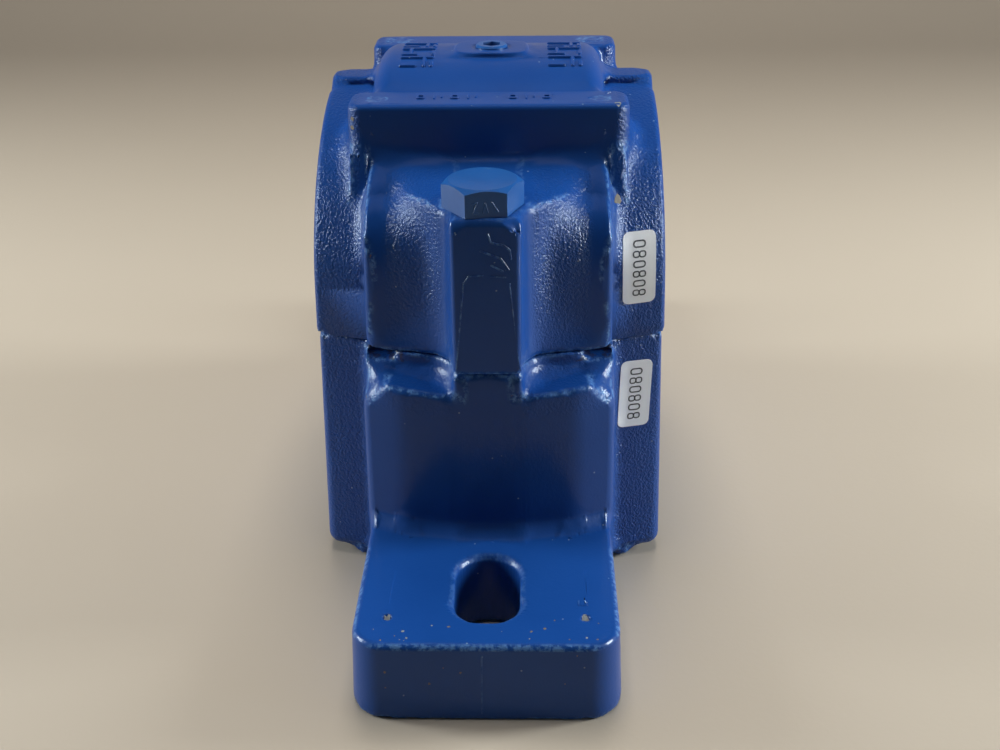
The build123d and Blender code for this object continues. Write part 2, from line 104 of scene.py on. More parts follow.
# ---------------------------------------------------------------- light and floor
MIDDLE = (0.0, 0.0, 0.1)
NEAR_MIDDLE = (0.03, 0.0, 0.1)
KEY_SIZE = (0.5, 1.0)
SHEEN_SIZE = (1.2, 1.2)
FILL_SIZE = (0.22, 0.5)
STRIP_SIZE = (0.36, 0.5)
WHITE = (1.0, 1.0, 1.0)
WARM = (1.0, 0.985, 0.96)
COOL = (0.88, 0.96, 1.0)
COLD = (0.80, 0.93, 1.0)
WORLD_COLOUR = (0.75, 0.72, 0.68, 1.0)
WORLD_STRENGTH = 0.05
FLOOR_FRONT = 4.0
FLOOR_MIDDLE = 0.5
FLOOR_HALF_WIDTH = 4.0
BEND_START = -0.75
BEND_RADIUS = 0.35
BEND_STEPS = 12
WALL_TOP = 1.6


def add_area(name, place, target, size, power, colour):
    data = bpy.data.lights.new(name, "AREA")
    data.shape = "RECTANGLE"
    data.size, data.size_y = size
    data.energy = power
    data.color = colour
    light = add_object(name, data)
    place = Vector(place)
    light.location = place
    light.rotation_euler = (Vector(target) - place).to_track_quat("-Z", "Y").to_euler()
    return light


def add_lights():
    """A soft key above and a fill each side that only shade; a sheen and two strips that only shine."""
    key = add_area("overhead_key", (-0.2, 0.0, 1.25), MIDDLE, KEY_SIZE, 13.0, WARM)
    sheen = add_area("overhead_sheen", (-0.15, 0.0, 1.4), NEAR_MIDDLE, SHEEN_SIZE, 0.9, WHITE)
    right_fill = add_area("right_fill", (-0.1, 1.05, 0.35), NEAR_MIDDLE, FILL_SIZE, 15.0, COOL)
    left_fill = add_area("left_fill", (-0.1, -1.05, 0.35), NEAR_MIDDLE, FILL_SIZE, 11.0, COOL)
    right_strip = add_area("right_strip", (0.28, 1.0, 0.42), NEAR_MIDDLE, STRIP_SIZE, 28.0, COLD)
    left_strip = add_area("left_strip", (0.08, -1.0, 0.42), NEAR_MIDDLE, STRIP_SIZE, 17.0, COLD)
    for light in (key, right_fill, left_fill):
        light.visible_glossy = False
    for light in (sheen, right_strip, left_strip):
        light.visible_diffuse = False
    world = bpy.data.worlds.new("studio")
    bpy.context.scene.world = world
    world.use_nodes = True
    back = world.node_tree.nodes["Background"]
    back.inputs["Color"].default_value = WORLD_COLOUR
    back.inputs["Strength"].default_value = WORLD_STRENGTH


def add_floor():
    """A pale paper sweep: flat under the part, curving up into a wall behind it."""
    line = [(FLOOR_FRONT, 0.0), (FLOOR_MIDDLE, 0.0)]
    for step in range(BEND_STEPS + 1):
        turn = 0.5 * math.pi * step / BEND_STEPS
        line.append((BEND_START - BEND_RADIUS * math.sin(turn), BEND_RADIUS * (1.0 - math.cos(turn))))
    line.append((BEND_START - BEND_RADIUS, WALL_TOP))
    points = [(x, side * FLOOR_HALF_WIDTH, z) for x, z in line for side in BOTH]
    faces = [(2 * i, 2 * i + 1, 2 * i + 3, 2 * i + 2) for i in range(len(line) - 1)]
    mesh = bpy.data.meshes.new("studio_floor")
    mesh.from_pydata(points, [], faces)
    mesh.shade_smooth()
    mesh.materials.append(floor_paper_and_shade())
    add_object("studio_floor", mesh)


# ---------------------------------------------------------------- node helpers
class Shader:
    """A material's node tree with short calls to add and join nodes."""

    def __init__(self, name):
        self.material = bpy.data.materials.new(name)
        self.material.use_nodes = True
        self.tree = self.material.node_tree
        self.surface = self.tree.nodes["Principled BSDF"]
        self.place = self.add("ShaderNodeTexCoord").outputs["Object"]

    def add(self, kind, **settings):
        node = self.tree.nodes.new(kind)
        for name, value in settings.items():
            setattr(node, name, value)
        return node

    def plug(self, socket, value):
        if hasattr(value, "is_output"):
            self.tree.links.new(value, socket)
        else:
            socket.default_value = value

    def math(self, operation, first, second=0.0):
        node = self.add("ShaderNodeMath", operation=operation)
        self.plug(node.inputs[0], first)
        self.plug(node.inputs[1], second)
        return node.outputs[0]

    def times(self, first, *others):
        for other in others:
            first = self.math("MULTIPLY", first, other)
        return first

    def most(self, first, *others):
        for other in others:
            first = self.math("MAXIMUM", first, other)
        return first

    def noise(self, scale, detail=2.0, roughness=0.5):
        node = self.add("ShaderNodeTexNoise")
        self.plug(node.inputs["Vector"], self.place)
        node.inputs["Scale"].default_value = scale
        node.inputs["Detail"].default_value = detail
        node.inputs["Roughness"].default_value = roughness
        return node.outputs["Fac"]

    def cells(self, scale):
        """Distance to the nearest of many scattered points."""
        node = self.add("ShaderNodeTexVoronoi")
        self.plug(node.inputs["Vector"], self.place)
        node.inputs["Scale"].default_value = scale
        return node.outputs["Distance"]

    def ramp(self, value, low, high, out_low=0.0, out_high=1.0):
        node = self.add("ShaderNodeMapRange", interpolation_type="SMOOTHSTEP")
        self.plug(node.inputs["Value"], value)
        node.inputs["From Min"].default_value = low
        node.inputs["From Max"].default_value = high
        node.inputs["To Min"].default_value = out_low
        node.inputs["To Max"].default_value = out_high
        return node.outputs["Result"]

    def between(self, value, low, high, soft):
        """1 where value lies from low to high, falling to 0 over the soft width outside."""
        rising = self.ramp(value, low - soft, low)
        falling = self.ramp(value, high, high + soft, 1.0, 0.0)
        return self.times(rising, falling)

    def mix(self, share, first, second):
        node = self.add("ShaderNodeMix", data_type="RGBA")
        self.plug(node.inputs["Factor"], share)
        colours = [socket for socket in node.inputs if socket.type == "RGBA"]
        self.plug(colours[0], first)
        self.plug(colours[1], second)
        return [socket for socket in node.outputs if socket.type == "RGBA"][0]

    def axis(self, letter):
        node = self.add("ShaderNodeSeparateXYZ")
        self.plug(node.inputs[0], self.place)
        return node.outputs[letter]

    def distance_along(self, letter):
        """How far a place is from the part's middle along one axis, on either side."""
        return self.math("ABSOLUTE", self.axis(letter))

    def bump(self, height, strength, distance, under=None):
        node = self.add("ShaderNodeBump")
        self.plug(node.inputs["Height"], height)
        self.plug(node.inputs["Strength"], strength)
        node.inputs["Distance"].default_value = distance
        if under is not None:
            self.plug(node.inputs["Normal"], under)
        return node.outputs["Normal"]

    def set(self, **values):
        for name, value in values.items():
            self.plug(self.surface.inputs[name.replace("_", " ")], value)


# ---------------------------------------------------------------- floor paper and its painted shade
NEAR_SHADE_SPAN = mm(240.0, 500.0)
FAR_SHADE_SPAN = mm(-800.0, -100.0)


def floor_paper_and_shade():
    """Buff paper with painted shade: darker towards the camera and far behind the part, where less light
    falls.
    """
    s = Shader("floor_paper_and_shade")
    pale = s.mix(s.noise(3.0, 3.0), (0.43, 0.365, 0.285, 1.0), (0.48, 0.41, 0.325, 1.0))
    # Painted shade: the paper darkens towards the camera, standing in for dimmer light there.
    near_shade = s.ramp(s.axis("X"), *NEAR_SHADE_SPAN, 0.0, 0.55)
    paper = s.mix(near_shade, pale, (0.16, 0.135, 0.11, 1.0))
    # Painted shade: the paper darkens far behind the part, standing in for light falling off.
    far = s.ramp(s.axis("X"), *FAR_SHADE_SPAN, 0.8, 0.0)
    s.set(Base_Color=s.mix(far, paper, (0.22, 0.18, 0.14, 1.0)), Roughness=0.75)
    s.set(Normal=s.bump(s.noise(420.0), 0.12, 0.3 * MM))
    return s.material


# ---------------------------------------------------------------- enamel of the castings
DEEP_BLUE = (0.0060, 0.048, 0.225, 1.0)
CLEAR_BLUE = (0.0085, 0.066, 0.290, 1.0)
# Paler blue for the edges: partly wear, partly a painted highlight.
WORN_AND_HIGHLIT_BLUE = (0.14, 0.31, 0.62, 1.0)
PALE_SPECK = (0.30, 0.42, 0.55, 1.0)
SLOT_RUST = (0.035, 0.022, 0.018, 1.0)
BARE_IRON = (0.13, 0.10, 0.08, 1.0)
HUB_START = mm(44.0, 46.0)
SCOOP_ACROSS = mm(17.0, 34.0)
SCOOP_ALONG = mm(60.0, 97.0)
SCOOP_GROWS = mm(92.0, 125.0)
SCOOP_BOTTOM = mm(90.0, 94.0)
SCOOP_LEAST = 0.25
LEDGE_ACROSS = mm(13.0, 44.0)
LEDGE_LEVEL = mm(80.0, 93.0)
LEDGE_SHARE = 0.35
# Where the foot's top rim gets paler enamel: wear and a painted highlight line.
FOOT_RIM_END = mm(161.5, 163.0)
FOOT_RIM_SIDE = mm(42.0, 43.5)
FOOT_RIM_START = mm(106.0, 112.0)
FOOT_RIM_LEVEL = mm(28.3, 29.7)
FOOT_RIM_WEAR_AND_HIGHLIGHT = 0.8
PRY_SLOT_LEVEL = mm(91.8, 95.0)
PRY_SLOT_ACROSS = mm(31.0, 43.0)
PATCH_SCALE = 28.0
WAVE_SCALE, WAVE_DEPTH = 75.0, 0.6 * MM
PEBBLE_SCALE, PEBBLE_DEPTH = 1050.0, 0.50 * MM
SAND_SCALE, SAND_DEPTH = 2900.0, 0.10 * MM
LEAST_BUMP = 0.10


def rough_cast_places(s):
    """1 where the sand casting is pebbled: the hubs and the scoops by the columns; less on the ledges."""
    across, along, height = s.distance_along("Y"), s.distance_along("X"), s.axis("Z")
    hub = s.ramp(across, *HUB_START)
    scoop = s.times(
        s.between(across, *SCOOP_ACROSS, 3.0 * MM),
        s.between(along, *SCOOP_ALONG, 3.0 * MM),
        s.ramp(height, *SCOOP_GROWS, SCOOP_LEAST, 1.0),
        s.ramp(height, *SCOOP_BOTTOM),
    )
    ledge = s.times(
        s.between(across, *LEDGE_ACROSS, 2.0 * MM),
        s.between(height, *LEDGE_LEVEL, 3.0 * MM),
        LEDGE_SHARE,
    )
    return s.most(hub, scoop, ledge)


def worn_and_highlit_edges(s):
    """How worn an edge is, which also sets a painted highlight: the skin's own edge values, and the rim of
    the foot's top.
    """
    across, along, height = s.distance_along("Y"), s.distance_along("X"), s.axis("Z")
    edge = s.add("ShaderNodeAttribute", attribute_name="edge").outputs["Fac"]
    # The foot's top rim gets an edge value for a painted highlight line, along with wear.
    foot_rim = s.times(
        s.most(s.ramp(along, *FOOT_RIM_END), s.ramp(across, *FOOT_RIM_SIDE)),
        s.ramp(along, *FOOT_RIM_START),
        s.between(height, *FOOT_RIM_LEVEL, 0.4 * MM),
        FOOT_RIM_WEAR_AND_HIGHLIGHT,
    )
    return s.most(edge, foot_rim)


def enamel_colour(s, patch, edge):
    """Blue paint with pale specks, paler along the edges from wear and a painted highlight, bare where worn
    most, and rust in the pry slots.
    """
    body = s.mix(patch, DEEP_BLUE, CLEAR_BLUE)
    speck = s.times(
        s.ramp(s.cells(240.0), 0.05, 0.10, 1.0, 0.0),
        s.math("GREATER_THAN", s.noise(140.0, 0.0), 0.64),
    )
    body = s.mix(s.times(speck, 0.55), body, PALE_SPECK)
    # Paler blue along the edges: partly wear, partly a painted highlight standing in for light caught by
    # rounded edges.
    worn_and_highlit = s.times(edge, s.ramp(s.noise(480.0, 4.0, 0.65), 0.42, 0.60))
    body = s.mix(s.times(worn_and_highlit, 0.65), body, WORN_AND_HIGHLIT_BLUE)
    rust = s.times(
        s.between(s.axis("Z"), *PRY_SLOT_LEVEL, 0.4 * MM),
        s.between(s.distance_along("Y"), *PRY_SLOT_ACROSS, 1.0 * MM),
        s.ramp(s.noise(300.0, 4.0, 0.6), 0.45, 0.55),
    )
    body = s.mix(s.times(rust, 0.6), body, SLOT_RUST)
    bare = s.times(s.ramp(edge, 0.55, 0.9), s.ramp(s.noise(190.0, 5.0, 0.7), 0.66, 0.70))
    return s.mix(bare, body, BARE_IRON)


def housing_enamel():
    """Glossy blue enamel over a sand casting: pebbled hubs and scoops, paler along the edges from wear and
    a painted highlight.
    """
    s = Shader("housing_enamel")
    patch = s.noise(PATCH_SCALE, 3.0)
    rough_cast = rough_cast_places(s)
    edge = worn_and_highlit_edges(s)
    pebbled = s.times(s.most(rough_cast, s.times(edge, 0.6)), 0.85)
    sandy = s.times(rough_cast, 0.4)
    wet = s.bump(s.noise(WAVE_SCALE), 0.10, WAVE_DEPTH)
    cast = s.bump(s.noise(PEBBLE_SCALE, 2.0, 0.55), s.math("ADD", pebbled, LEAST_BUMP), PEBBLE_DEPTH, wet)
    fine = s.bump(s.noise(SAND_SCALE, 1.0), s.math("ADD", sandy, LEAST_BUMP), SAND_DEPTH, cast)
    s.set(Base_Color=enamel_colour(s, patch, edge), Normal=fine, Coat_Normal=fine)
    s.set(Roughness=s.ramp(patch, 0.2, 0.8, 0.30, 0.42))
    s.surface.inputs["Specular IOR Level"].default_value = 0.12
    s.surface.inputs["Coat Weight"].default_value = 0.30
    s.surface.inputs["Coat Roughness"].default_value = 0.13
    s.surface.inputs["Coat IOR"].default_value = 1.5
    return s.material


# ---------------------------------------------------------------- other materials
def fastener_enamel():
    """Blue enamel on bolts and plug, thicker in places, with a few scraped spots."""
    s = Shader("fastener_enamel")
    patch = s.noise(90.0, 3.0)
    scrape = s.ramp(s.noise(320.0, 4.0, 0.65), 0.66, 0.74)
    paint = s.mix(patch, (0.008, 0.075, 0.280, 1.0), (0.014, 0.100, 0.340, 1.0))
    body = s.mix(s.times(scrape, 0.35), paint, (0.20, 0.33, 0.45, 1.0))
    s.set(Base_Color=body, Roughness=s.ramp(patch, 0.2, 0.8, 0.30, 0.45))
    s.set(Normal=s.bump(s.noise(180.0), 0.25, 0.3 * MM))
    s.surface.inputs["Specular IOR Level"].default_value = 0.30
    s.surface.inputs["Coat Weight"].default_value = 0.35
    s.surface.inputs["Coat Roughness"].default_value = 0.14
    return s.material


def worked_metal(name, dark, light, roughness, ring_scale):
    """Turned or ground metal with fine tool rings and a little staining."""
    s = Shader(name)
    rings = s.add("ShaderNodeTexWave", wave_type="BANDS", bands_direction="Y")
    s.plug(rings.inputs["Vector"], s.place)
    rings.inputs["Scale"].default_value = ring_scale
    rings.inputs["Distortion"].default_value = 0.6
    stain = s.noise(70.0, 4.0, 0.6)
    s.set(Base_Color=s.mix(stain, dark, light), Metallic=1.0)
    s.set(Roughness=s.ramp(stain, 0.25, 0.75, roughness * 0.8, roughness * 1.25))
    s.set(Normal=s.bump(rings.outputs["Fac"], 0.15, 0.1 * MM))
    return s.material


def mottled(name, mottle_scale, dark, light, roughness, grain_scale, grain_strength, grain_depth):
    """A dull surface that wanders between two colours and has a fine grain."""
    s = Shader(name)
    s.set(Base_Color=s.mix(s.noise(mottle_scale, 3.0), dark, light), Roughness=roughness)
    s.set(Normal=s.bump(s.noise(grain_scale), grain_strength, grain_depth))
    return s.material


def seal_rubber():
    dark, light = (0.012, 0.012, 0.013, 1.0), (0.035, 0.035, 0.036, 1.0)
    return mottled("seal_rubber", 220.0, dark, light, 0.55, 900.0, 0.2, 0.1 * MM)


def label_paper():
    dark, light = (0.92, 0.94, 0.96, 1.0), (0.96, 0.97, 0.98, 1.0)
    return mottled("label_paper", 700.0, dark, light, 0.45, 160.0, 0.15, 0.2 * MM)


def label_ink():
    s = Shader("label_ink")
    s.set(Base_Color=s.mix(s.noise(800.0), (0.015, 0.016, 0.020, 1.0), (0.045, 0.048, 0.055, 1.0)))
    s.set(Roughness=0.5)
    return s.material


def chip_primer():
    dark, light = (0.12, 0.15, 0.18, 1.0), (0.30, 0.30, 0.28, 1.0)
    return mottled("chip_primer", 900.0, dark, light, 0.55, 1500.0, 0.4, 0.1 * MM)


def chip_rust():
    dark, light = (0.08, 0.065, 0.05, 1.0), (0.22, 0.18, 0.13, 1.0)
    return mottled("chip_rust", 900.0, dark, light, 0.7, 1500.0, 0.4, 0.1 * MM)


METALS = (
    ("pin_steel", (0.42, 0.43, 0.45, 1), (0.58, 0.59, 0.60, 1), 0.25, 500),
    ("bearing_steel", (0.60, 0.61, 0.63, 1), (0.74, 0.75, 0.76, 1), 0.12, 900),
    ("cage_steel", (0.42, 0.43, 0.45, 1), (0.56, 0.57, 0.59, 1), 0.3, 300),
    ("guide_iron", (0.24, 0.24, 0.25, 1), (0.36, 0.36, 0.37, 1), 0.4, 600),
    ("sleeve_steel", (0.30, 0.30, 0.31, 1), (0.44, 0.44, 0.45, 1), 0.3, 700),
    ("seal_aluminium", (0.58, 0.59, 0.60, 1), (0.74, 0.75, 0.76, 1), 0.32, 650),
)


def make_materials():
    made = {"housing_enamel": housing_enamel(), "fastener_enamel": fastener_enamel()}
    for name, dark, light, roughness, ring_scale in METALS:
        made[name] = worked_metal(name, dark, light, roughness, ring_scale)
    made["seal_rubber"] = seal_rubber()
    return made


# ---------------------------------------------------------------- cast skins
SPLIT_HEIGHT = 95.25 * MM
BORE_RADIUS = 77.0 * MM
BORE_HALF_LENGTH = 44.0 * MM
SEAL_RADIUS = 54.5 * MM
BOLT_X = 87.5 * MM
BOLT_REACH = 9.5 * MM
BOLT_HOLE_BOTTOM = 20.0 * MM
FOOT_TOP = 30.0 * MM
FOOT_MARK_X = 148.6 * MM
FOOT_MARK_Y = 33.0 * MM
FOOT_MARK_REACH = 4.0 * MM
LEDGE_CORNER_PLACE = mm(87.0, 41.5, 86.0)
SHARP_TURN = math.radians(26.0)
SMOOTH_TURN = math.radians(34.0)
JOIN_DISTANCE = 0.001 * MM
THIN_DISTANCE = 0.002 * MM
CHECK_STEP = 3.0 * MM
REFINE_ROUNDS = 8
LONG_SHARE = 1.4
RIDGE = {"reach": 3.0 * MM, "step": 1.1 * MM, "passes": 13}
VALLEY = {"reach": 5.0 * MM, "step": 1.7 * MM, "passes": 36}
LEDGE_CORNER = {"reach": 9.0 * MM, "step": 1.4 * MM, "passes": 110}
MARK_RIM = {"reach": 3.5 * MM, "step": 0.9 * MM, "passes": 0}
SOFTEN_GAIN = 1.6
SOFTEN_RATE = 0.5
SPLIT_TOLERANCE = 0.05 * MM
SPLIT_SHARE = 0.4
# How far from an edge the enamel is worn and given a painted highlight.
WEAR_AND_HIGHLIGHT_REACH = 1.4 * MM
SLOT_START = 108.0 * MM
SLOT_HALF_WIDTH = 14.0 * MM
SEAT_TOP = 142.0 * MM
SHELTERED_WEAR_AND_HIGHLIGHT = 0.35
DENT_SCALE = 260.0
DENT_BIAS = 0.15
DENT_DEPTH = 0.45 * MM
LEG_FOOT_X = 61.8 * MM
LEG_FOOT_HEIGHT = 142.5 * MM
LEG_SINK = 4.0 * MM
LEG_TOP_X = 52.9 * MM
LEG_TOP_HEIGHT = 161.0 * MM
LEG_BACK_X = 45.0 * MM
LEG_INNER_Y = 42.5 * MM
LEG_OUTER_Y = 48.7 * MM


def is_outer(point):
    """True on the painted outside, away from the bores, the bolt and plug holes and the foot's dimples."""
    radius = math.hypot(point.x, point.z - SPLIT_HEIGHT)
    if radius < SEAL_RADIUS or (radius < BORE_RADIUS and abs(point.y) < BORE_HALF_LENGTH):
        return False
    if point.z > BOLT_HOLE_BOTTOM and math.hypot(abs(point.x) - BOLT_X, point.y) < BOLT_REACH:
        return False
    if math.hypot(abs(point.x) - FOOT_MARK_X, abs(point.y) - FOOT_MARK_Y) < FOOT_MARK_REACH:
        return False
    return math.hypot(point.x, point.y) > BOLT_REACH


def point_tree(points):
    tree = KDTree(len(points))
    for index, point in enumerate(points):
        tree.insert(point, index)
    tree.balance()
    return tree


def four_places(x, y, z):
    """The place and its mirror images at the part's other ends and sides."""
    return point_tree([Vector((end * x, side * y, z)) for end in BOTH for side in BOTH])


def edge_tree(bm, convex):
    """Points each millimetre along the outer edges that turn sharply, out or in."""
    places = []
    for edge in bm.edges:
        if len(edge.link_faces) != 2 or edge.is_convex != convex or edge.calc_face_angle(0.0) < SHARP_TURN:
            continue
        first, second = (vert.co for vert in edge.verts)
        if not (is_outer(first) and is_outer(second)):
            continue
        steps = max(1, int(edge.calc_length() / MM))
        places.extend(first.lerp(second, step / steps) for step in range(steps + 1))
    return point_tree(places)


def comes_near(edge, tree, reach):
    first, second = (vert.co for vert in edge.verts)
    steps = max(2, int(edge.calc_length() / CHECK_STEP))
    return any(tree.find(first.lerp(second, step / steps))[2] < reach for step in range(steps + 1))


def split_to_triangles(bm):
    many_sided = [face for face in bm.faces if len(face.verts) > 3]
    bmesh.ops.triangulate(bm, faces=many_sided, quad_method="SHORT_EDGE", ngon_method="EAR_CLIP")


def refine_near(bm, tree, reach, step):
    """Halve the edges near the tree's points until they are about a step long."""
    far = set()
    for _ in range(REFINE_ROUNDS):
        long_edges = []
        for edge in bm.edges:
            if edge in far or edge.calc_length() < LONG_SHARE * step:
                continue
            if comes_near(edge, tree, reach):
                long_edges.append(edge)
            else:
                far.add(edge)
        if not long_edges:
            break
        bmesh.ops.subdivide_edges(bm, edges=long_edges, cuts=1)
        split_to_triangles(bm)


def soften(bm, tree, reach, passes):
    """Round what lies near the tree's points, as sand and thick paint leave it."""
    places = np.array([vert.co[:] for vert in bm.verts])
    pairs = np.array([[vert.index for vert in edge.verts] for edge in bm.edges])
    far = np.array([tree.find(vert.co)[2] if is_outer(vert.co) else reach for vert in bm.verts])
    share = np.clip(SOFTEN_GAIN * (1.0 - far / reach), 0.0, 1.0)
    share[np.abs(places[:, 2] - SPLIT_HEIGHT) < SPLIT_TOLERANCE] *= SPLIT_SHARE
    count = len(places)
    both = np.concatenate((pairs, pairs[:, ::-1]))
    both = both[share[both[:, 0]] > 0.0]
    neighbours = np.maximum(np.bincount(both[:, 0], minlength=count), 1)
    for _ in range(passes):
        for axis in range(3):
            total = np.bincount(both[:, 0], weights=places[both[:, 1], axis], minlength=count)
            places[:, axis] += SOFTEN_RATE * share * (total / neighbours - places[:, axis])
    for vert, place in zip(bm.verts, places):
        vert.co = place


def wear_and_highlight_share(point):
    """How much an edge here is worn and given a painted highlight: little round the foot slots and above
    the bolt seats.
    """
    slot_rim = abs(point.x) > SLOT_START and abs(point.y) < SLOT_HALF_WIDTH
    seat_top = point.z > SEAT_TOP and abs(point.y) < SLOT_HALF_WIDTH
    return SHELTERED_WEAR_AND_HIGHLIGHT if slot_rim or seat_top else 1.0


def roughen(bm, wear_and_highlight):
    """Dent the worn edges unevenly, always inwards."""
    bm.normal_update()
    for vert in bm.verts:
        if vert[wear_and_highlight] > 0.0:
            dent = max(0.0, noise.noise(vert.co * DENT_SCALE) + DENT_BIAS)
            vert.co -= vert.normal * (DENT_DEPTH * vert[wear_and_highlight] * dent)


def bar_leg(side, end):
    """The web that runs down from a lifting bar's end onto the hub."""
    outline = (
        (LEG_BACK_X, LEG_FOOT_HEIGHT - LEG_SINK),
        (LEG_FOOT_X, LEG_FOOT_HEIGHT - LEG_SINK),
        (LEG_FOOT_X, LEG_FOOT_HEIGHT),
        (LEG_TOP_X, LEG_TOP_HEIGHT),
        (LEG_BACK_X, LEG_TOP_HEIGHT),
    )
    points = [(end * x, side * y, z) for y in (LEG_INNER_Y, LEG_OUTER_Y) for x, z in outline]
    count = len(outline)
    faces = [tuple(range(count)), tuple(range(2 * count - 1, count - 1, -1))]
    faces += [(i, i + count, (i + 1) % count + count, (i + 1) % count) for i in range(count)]
    mesh = bpy.data.meshes.new("leg")
    mesh.from_pydata(points, [], faces)
    bm = bmesh.new()
    bm.from_mesh(mesh)
    bmesh.ops.recalc_face_normals(bm, faces=bm.faces)
    bm.to_mesh(mesh)
    bm.free()
    return add_object("leg", mesh)


def with_legs(mesh):
    """The cap's mesh joined with a leg at each of the bars' four ends."""
    casting = add_object("casting", mesh)
    legs = [bar_leg(side, end) for side in BOTH for end in BOTH]
    for leg in legs:
        joint = casting.modifiers.new("leg", "BOOLEAN")
        joint.operation = "UNION"
        joint.solver = "EXACT"
        joint.object = leg
    bpy.context.view_layer.update()
    solid = casting.evaluated_get(bpy.context.evaluated_depsgraph_get())
    bm = bmesh.new()
    bm.from_mesh(solid.to_mesh())
    for scrap in legs + [casting]:
        bpy.data.objects.remove(scrap)
    bmesh.ops.remove_doubles(bm, verts=bm.verts, dist=JOIN_DISTANCE)
    return bm


def joined_mesh(node_name):
    """The CAD casting's mesh with its corners joined, and the bar legs added to the cap."""
    bm = bmesh.new()
    bm.from_mesh(nodes[node_name].data)
    bmesh.ops.remove_doubles(bm, verts=bm.verts, dist=JOIN_DISTANCE)
    if node_name != "cap":
        return bm
    mesh = bpy.data.meshes.new("casting")
    bm.to_mesh(mesh)
    bm.free()
    return with_legs(mesh)


def shade(mesh, material):
    """Smooth where the mesh turns gently, sharp elsewhere."""
    mesh.validate()
    mesh.shade_smooth()
    mesh.set_sharp_from_angle(angle=SMOOTH_TURN)
    mesh.materials.append(material)


def cast_skin(node_name):
    """The casting again with its outer edges worn round; its bores are the CAD's."""
    bm = joined_mesh(node_name)
    split_to_triangles(bm)
    ridges = edge_tree(bm, True)
    treatments = [(VALLEY, edge_tree(bm, False)), (RIDGE, ridges)]
    if node_name == "base":
        treatments.append((LEDGE_CORNER, four_places(*LEDGE_CORNER_PLACE)))
        treatments.append((MARK_RIM, four_places(FOOT_MARK_X, FOOT_MARK_Y, FOOT_TOP)))
    for kind, tree in treatments:
        refine_near(bm, tree, kind["reach"], kind["step"])
    bm.verts.index_update()
    # The edge values are wear and a painted highlight: the enamel is paler where they are high.
    wear_and_highlight = bm.verts.layers.float.new("edge")
    for vert in bm.verts:
        vert[wear_and_highlight] = wear_and_highlight_share(vert.co) * max(0.0, 1.0 - ridges.find(vert.co)[2] / WEAR_AND_HIGHLIGHT_REACH)
    for kind, tree in treatments:
        soften(bm, tree, kind["reach"], kind["passes"])
    roughen(bm, wear_and_highlight)
    bmesh.ops.dissolve_degenerate(bm, dist=THIN_DISTANCE, edges=bm.edges)
    split_to_triangles(bm)
    mesh = bpy.data.meshes.new(node_name + "_skin")
    bm.to_mesh(mesh)
    bm.free()
    shade(mesh, materials["housing_enamel"])
    skin = add_object(node_name + "_skin", mesh)
    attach(skin, "housing")
    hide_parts(node_name)
    return skin


# ---------------------------------------------------------------- thin raised shapes
FRONT = ((0.0, 1.0, 0.0), (0.0, 0.0, 1.0))
TOP = ((1.0, 0.0, 0.0), (0.0, 1.0, 0.0))
FAR = 400.0 * MM
SINK = 0.35 * MM
LEAST_RADIUS = 0.02 * MM
LEAST_INSET = 0.01 * MM
CORNER_POINTS = 5
SHEET_CORNER_STEPS = 4
SHEET_MIDDLE_STEPS = 14
SHEET_COLUMNS = 7
CHIP_POINTS = 11
CHIP_RAGGED = (0.55, 1.15)


class Face:
    """A side of a mesh seen along one direction: flat places on it become places on the mesh."""

    def __init__(self, item, across, up):
        mesh = item.data
        points = [vert.co[:] for vert in mesh.vertices]
        self.tree = BVHTree.FromPolygons(points, [face.vertices[:] for face in mesh.polygons])
        self.across = Vector(across)
        self.up = Vector(up)
        self.out = self.across.cross(self.up)

    def lift(self, u, v, height):
        start = u * self.across + v * self.up + FAR * self.out
        place, normal = self.tree.ray_cast(start, -self.out)[:2]
        return place + height * normal


def turned(u, v, turn, centre):
    """The flat place (u, v) turned about zero and then moved to the centre."""
    return (
        centre[0] + u * math.cos(turn) - v * math.sin(turn),
        centre[1] + u * math.sin(turn) + v * math.cos(turn),
    )


def rounded_ring(width, length, radius, inset, turn, centre):
    """Points round a rounded box, drawn in by inset."""
    half_width = 0.5 * width - inset
    half_length = 0.5 * length - inset
    radius = max(min(radius - inset, half_width, half_length), LEAST_RADIUS)
    ring = []
    for corner in range(4):
        sign_u = 1.0 if corner in (0, 3) else -1.0
        sign_v = 1.0 if corner in (0, 1) else -1.0
        for step in range(CORNER_POINTS):
            angle = math.radians(90.0 * (corner + step / (CORNER_POINTS - 1)))
            u = sign_u * (half_width - radius) + radius * math.cos(angle)
            v = sign_v * (half_length - radius) + radius * math.sin(angle)
            ring.append(turned(u, v, turn, centre))
    return ring


def sheet_stations(length, radius):
    """Places along a rounded sheet, close together at its round corners."""
    corner = [
        radius * (1.0 - math.cos(0.5 * math.pi * step / SHEET_CORNER_STEPS))
        for step in range(SHEET_CORNER_STEPS)
    ]
    middle = [
        radius + (length - 2.0 * radius) * step / SHEET_MIDDLE_STEPS
        for step in range(SHEET_MIDDLE_STEPS + 1)
    ]
    return corner + middle + [length - inset for inset in reversed(corner)]


